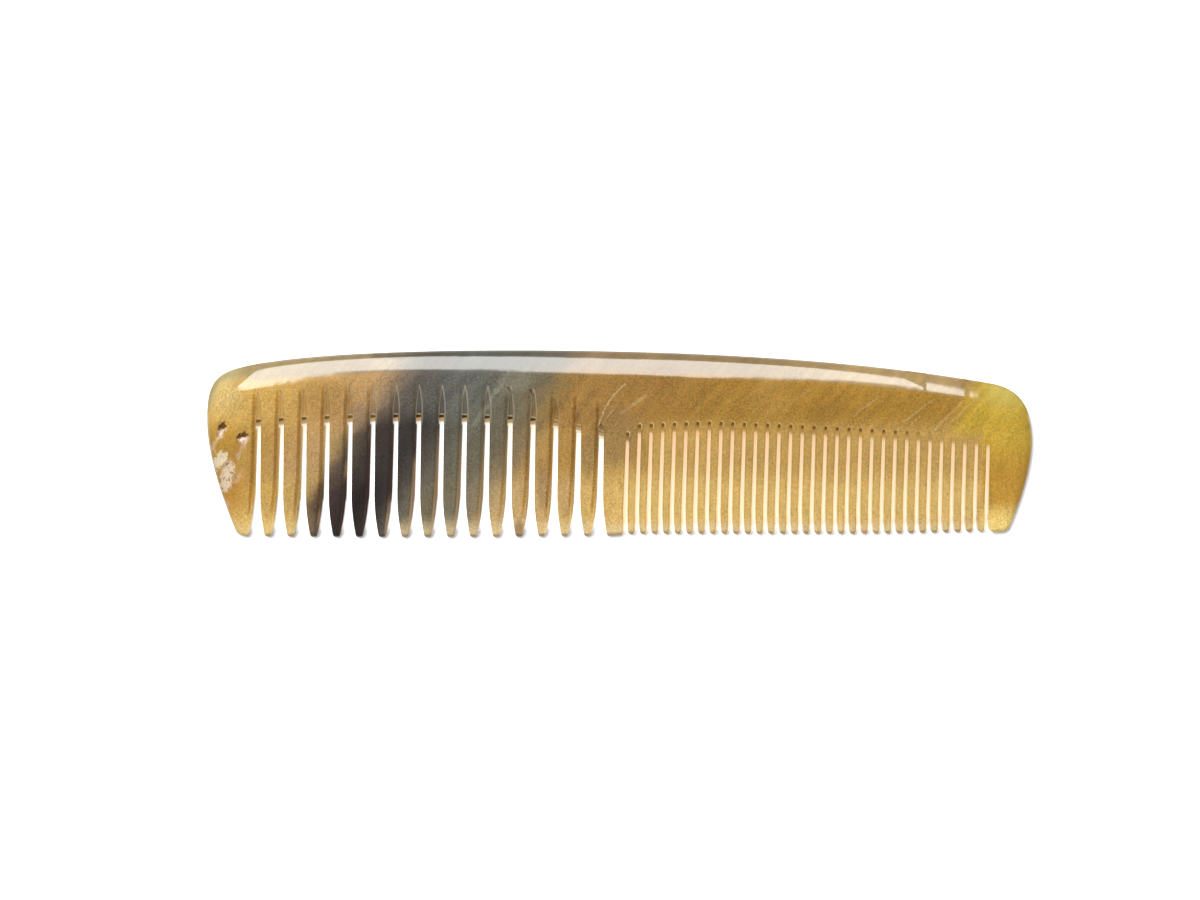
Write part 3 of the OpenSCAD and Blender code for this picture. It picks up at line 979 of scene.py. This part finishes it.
def damage(x, y, place, colour):
    # Two pits, their upper wall painted dark as shade and their lower one painted pale as light, and the
    # flaking patch below them
    shift = place.grain(0.7, 3.0, 0.7)
    roughX, roughY = x + shift * 1.9, y + place.moved(9.0, 0.0, 0.0).grain(0.7, 3.0, 0.7) * 2.6
    halo = ellipse(roughX, roughY, *damageShape["halo"]).step(*damageShape["haloEdge"])
    colour = colour.over("pitHalo", halo * 0.55)
    worn = None
    for index, scoop in enumerate(damageShape["scoops"]):
        middle, halves, turn = scoop[:3]
        inside = ellipse(roughX, roughY, middle, halves, turn).step(*damageShape["edge"])
        if index < damageShape["pits"]:
            # Painted shade on each pit's upper wall and painted light on its lower wall
            upper = (y - middle[1] - (x - middle[0]) * 0.25 + shift * 1.4).step(-0.15, 0.35)
            colour = colour.over("pitLitWallAndPaleTrail", inside * (1 - upper) * 0.85)
            colour = colour.over("pitShadedWall", inside * upper * 0.9)
        else:
            flake = joined(x * 1.4, y * 0.7, 0.0).grain(0.6, 3.0, 0.7)
            tone, cracks = damageShape["patches"][index - damageShape["pits"]]
            colour = colour.over(tone, inside * 0.88)
            colour = colour.over("fissure", inside * flake.step(0.02, 0.10) * cracks)
            worn = inside if worn is None else worn.atLeast(inside)
    for start, end, strength in hornMarks["trails"]:
        trail = segment(roughX, roughY, start, end).step(*hornMarks["trailEdge"])
        colour = colour.over("pitLitWallAndPaleTrail", trail * strength)
    return colour, worn


def scratches(x, y, place, colour):
    # Stains and pale curved veins in the horn, and painted shade at the tops of two grooves' run-outs
    marks = hornMarks
    size, strength = marks["sway"]
    swayX = x + place.grain(size) * strength
    swayY = y + place.moved(5.0, 0.0, 0.0).grain(size) * strength
    for middle, halves, turn, tone, strength in marks["stains"]:
        stain = ellipse(swayX, swayY, middle, halves, turn).step(*marks["stainEdge"])
        colour = colour.over(seen(tone), stain * strength)
    for name in ("veinGrey", "veinPale"):
        for start, end, strength, half in marks[name]:
            vein = segment(swayX, swayY, start, end).step(half, half * marks["veinCore"])
            colour = colour.over(name, vein * strength)
    # Painted shade at the tops of two grooves' run-outs
    for start, end, strength in marks["grooveTopShades"]:
        grooveTopShade = segment(x, y, start, end).step(*marks["grooveTopShadeEdge"])
        colour = colour.over("grooveTopShade", grooveTopShade * strength)
    return colour


def grainy(place, x, y, z, drop, colour):
    # Streaks run up to the right in the body, fibres run along the teeth, and all of it is finely grained
    slope = math.radians(hornLook["streakSlope"])
    along, across = x * math.cos(slope) + y * math.sin(slope), y * math.cos(slope) - x * math.sin(slope)
    streaks = joined(along * 0.16, across, z * 0.5).grain(1.5, 3.0, 0.55) * y.step(-2, 4)
    fibres = joined(x, y * 0.08, z * 0.5).grain(0.6, 2.0) * y.step(3, -2)
    mottling = place.grain(4.5, 2.0, 0.6)
    speckle = place.grain(0.30, 1.0, 0.6) * (1 - drop.step(0.08, 0.2) * 0.6)
    grains = zip((streaks, fibres, mottling, speckle), hornLook["grains"])
    colour = colour.times(1 + sum(grain * strength for grain, strength in grains))
    warm = place.moved(0.0, 7.0, 0.0).grain(0.5, 1.0).step(-0.02, 0.2)
    return colour.tinted(hornLook["warmGrain"], warm * 0.6)


def rimShaded(x, y, drop, colour):
    look = rimLook
    between = x.near(*look["between"])
    # Painted shade along the rolled edge of the tips
    colour = colour.tinted(look["tipShadeTint"], (y - footLine(x)).step(*look["foot"]) * between)
    # Painted shade: the rolled back and ends are greyed, tinted and darkened by depth below the face,
    # lighter towards the right and darker at the left
    high = y.step(*look["backFrom"]).atLeast(y.step(*look["endsFrom"]) * (1 - between))
    high = high.atLeast(y.step(*look["rightFrom"]) * x.step(*look["rightAlong"]))
    full = look["full"] + look["fullLeft"] * x.step(*look["leftAlong"])
    rim = drop.step(look["depth"], full) * high * x.step(*look["stop"])
    greyed = {"Saturation": look["saturation"], "Value": look["value"], "Fac": rim, "Color": colour}
    colour = Field.make("ShaderNodeHueSaturation", {}, greyed)
    tint = x.step(*look["tintLeft"]).atLeast(x.step(*look["tintRight"]) * look["tintRightShare"])
    colour = colour.tinted(look["tint"], rim * tint)
    lighter = look["lighter"] * x.step(*look["lighterAlong"])
    colour = colour.times(1 + rim * (lighter - look["darker"] * x.step(*look["darkerAlong"])))
    # Painted light: the rolled right end is made lighter
    strength, depths, along = look["rightEdgeLight"]
    colour = colour.times(1 + strength * drop.step(*depths) * x.step(*along))
    # Painted shade on the rolled left end, and under the rolled back
    for name, depths, along, up, strength in look["washes"]:
        colour = colour.over(name, drop.step(*depths) * x.step(*along) * y.step(*up) * strength)
    return colour.tinted(look["underShadeTint"], drop.step(*look["under"]) * y.step(*look["underUp"]))


def dullPlaces(x, y, drop):
    # The bright band stops short at both ends, and two small nicks break it near the right one
    look = rimLook
    first, second = [x.near(*gap) for gap in look["gaps"]]
    taper = (y - 10.1 + (x - 45.1) * 0.46).step(-0.05, 0.15) * x.near(46.7, 1.5, 0.2)
    breaks = first.atLeast(second).atLeast(taper) * drop.step(0.04, 0.10) * y.step(5, 6)
    leftStop = (x - y * look["leftStopSlant"]).step(*look["leftStop"])
    rightStop = x.step(*look["rightStop"])
    return breaks.atLeast(leftStop.atLeast(rightStop) * y.step(*look["stopsUp"]))


def makeHorn():
    horn, place, x, y, z = startMaterial("polishedHorn")
    drop = bellyHeight - (taperTop - y) * faceFall - z
    colour, band = bandColour(x, y, place)
    colour = grainy(place, x, y, z, drop, scratches(x, y, place, colour))
    colour, wideInsidePainted, wideSawn = wideMarks(x, y, drop, band, colour)
    colour, fineInsidePainted, fineSawn = fineMarks(x, y, drop, colour)
    inside = wideInsidePainted.over(fineInsidePainted, fineSawn)
    colour, worn = damage(x, y, place, colour)
    colour = rimShaded(x, y, drop, colour)

    long, short = [joined(x * along, y * up, 0.0).grain(1.0, 1.0) * height
                   for along, up, height in hornLook["waves"]]
    bump = Field.make("ShaderNodeBump", {}, {"Height": (long + short) * millimetre, "Distance": 1.0})
    roughness = hornLook["roughness"] + worn * hornLook["wornRough"]
    polished = horn.node_tree.nodes["Principled BSDF"]
    setInputs(polished, {
        "Base Color": colour, "Roughness": roughness, "Normal": bump, "IOR": hornLook["refraction"],
    })

    # The sawn faces inside the slots glow with painted light and shade, pale on the walls and dark where
    # shade falls at their inner ends, standing in for light that the translucent horn lets in
    paintedSlotGlow = {
        "Base Color": (0, 0, 0, 1), "Roughness": 1.0, "Specular IOR Level": 0.0,
        "Emission Color": inside, "Emission Strength": hornLook["light"],
    }
    unpolished = {"Base Color": colour, "Roughness": 1.0, "Specular IOR Level": 0.0}
    cut = Field.make("ShaderNodeBsdfPrincipled", {}, paintedSlotGlow)
    dull = Field.make("ShaderNodeBsdfPrincipled", {}, unpolished)
    sawn = wideSawn.atLeast(fineSawn) * drop.step(*hornLook["sawnFace"])
    faces = {0: dullPlaces(x, y, drop), 1: Field(polished.outputs[0]), 2: dull}
    body = Field.make("ShaderNodeMixShader", {}, faces)
    whole = Field.make("ShaderNodeMixShader", {}, {0: sawn, 1: body, 2: cut})
    setInputs(horn.node_tree.nodes["Material Output"], {"Surface": whole})
    return horn


comb.data.materials.clear()
comb.data.materials.append(makeHorn())
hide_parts("comb")
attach(comb, "root")
print("horn dressed")

# Floor, lights and camera
studio = {
    "cameraMiddle": (-0.00312, -0.00096),
    "lens": 90,
    "sensor": 36,
    "distance": 0.4755,
    "floorSize": 3.0,
    "floorColour": 0.5,
    "floorGlow": (0.26, 0.26, 0.26),
    # the paper between the teeth has a painted warm glow, most at their inner ends, standing in for light
    # that the translucent horn lets in
    "wideGlow": (0.85, 0.85, 0.85),
    "wideGlowDeep": (0.74, 0.63, 0.49),
    "wideGlowSmoky": (0.70, 0.70, 0.74),
    "fineGlow": (0.56, 0.33, 0.15),
    "fineGlowDeep": (0.44, 0.20, 0.06),
    # places along and up the comb where this warmth lies, in millimetres
    "underTeeth": (-0.7, 59.5, 0.8),
    "underFoot": (-14.2, -12.6),
    "underTop": (9, 7),
    "smokyAlong": (-33.0, 9.0, 6.0),
    "wideDeep": (-4.0, 2.6),
    "fineDeep": (-9, -1),
    "fineAlong": (-0.6, 0.0),
    "fineFoot": (-14.6, -12.2),
    "fineLeast": 0.3,
    # the panel that the back mirrors: its corners, on a level this high above the comb
    "panelHeight": 0.8,
    "panel": [
        (-0.168, 0.055), (-0.190, 0.050), (-0.270, 0.340), (-0.317, 0.664), (-0.369, 0.989), (-0.338, 1.068),
        (-0.306, 1.132), (-0.237, 1.213), (-0.155, 1.266), (-0.082, 1.027), (-0.048, 0.999), (0.012, 0.800),
        (0.093, 0.885), (0.178, 0.864), (0.218, 0.769), (0.240, 0.660), (0.253, 0.520), (0.250, 0.459),
        (0.232, 0.310), (0.213, 0.255), (0.183, 0.250), (0.180, 0.328), (0.150, 0.308), (0.108, 0.235),
        (0.075, 0.167), (0.049, 0.130), (0.001, 0.155), (-0.037, 0.184), (-0.057, 0.239), (-0.090, 0.264),
        (-0.115, 0.289), (-0.134, 0.301), (-0.147, 0.228), (-0.156, 0.184), (-0.165, 0.100),
    ],
    "panelColour": (1, 0.99, 0.97, 1),
    "panelGlow": 10.8,
    "fillPlace": (-0.25, 0.15, 0.8),
    "fillSize": 0.35,
    "fillPower": 12,
    "world": 0.25,
}


def makeFloor():
    bpy.ops.mesh.primitive_plane_add(size=studio["floorSize"])
    floor = bpy.context.object
    floor.name = "floor"
    paper, _, x, y, _ = startMaterial("whitePaper")
    under = x.near(*studio["underTeeth"]) * y.step(*studio["underFoot"]) * y.step(*studio["underTop"])
    deep = even(studio["wideGlowDeep"])
    deep = deep.over(even(studio["wideGlowSmoky"]), x.near(*studio["smokyAlong"]))
    wide = even(studio["wideGlow"]).over(deep, y.step(*studio["wideDeep"]))
    fine = even(studio["fineGlow"]).over(even(studio["fineGlowDeep"]), y.step(*studio["fineDeep"]))
    # A painted warm glow on the paper under the teeth
    glow = even(studio["floorGlow"]).over(wide, under)
    share = y.step(*studio["fineFoot"]).atLeast(studio["fineLeast"])
    glow = glow.over(fine, under * x.step(*studio["fineAlong"]) * share)
    setInputs(paper.node_tree.nodes["Principled BSDF"], {
        "Base Color": (studio["floorColour"],) * 3 + (1.0,), "Roughness": 1.0,
        "Specular IOR Level": 0.0, "Emission Color": glow, "Emission Strength": 1.0,
    })
    floor.data.materials.append(paper)


def makePanel():
    panel = polygon([(x, y, studio["panelHeight"]) for x, y in studio["panel"]])
    panel.name = "softPanel"
    glow = bpy.data.materials.new("panelGlow")
    glow.use_nodes = True
    lit = {"Emission Color": studio["panelColour"], "Emission Strength": studio["panelGlow"]}
    setInputs(glow.node_tree.nodes["Principled BSDF"], {"Base Color": (0, 0, 0, 1), **lit})
    panel.data.materials.append(glow)
    panel.visible_camera = False


def makeFill():
    lamp = bpy.data.lights.new("fill", "AREA")
    lamp.shape = "DISK"
    lamp.size = studio["fillSize"]
    lamp.energy = studio["fillPower"]
    fill = bpy.data.objects.new("fill", lamp)
    fill.location = studio["fillPlace"]
    fill.rotation_mode = "QUATERNION"
    fill.rotation_quaternion = (-Vector(studio["fillPlace"])).to_track_quat("-Z", "Y")
    fill.visible_camera = False
    fill.visible_glossy = False
    bpy.context.scene.collection.objects.link(fill)


def makeCamera():
    lens = bpy.data.cameras.new("camera")
    lens.lens = studio["lens"]
    lens.sensor_width = studio["sensor"]
    camera = bpy.data.objects.new("camera", lens)
    camera.location = (*studio["cameraMiddle"], studio["distance"])
    bpy.context.scene.collection.objects.link(camera)
    bpy.context.scene.camera = camera


makeFloor()
makePanel()
makeFill()
makeCamera()
scene = bpy.context.scene
scene.view_settings.view_transform = "Standard"
world = bpy.data.worlds.new("studio")
world.use_nodes = True
setInputs(world.node_tree.nodes["Background"], {"Color": (1, 1, 1, 1), "Strength": studio["world"]})
scene.world = world
print("studio set")
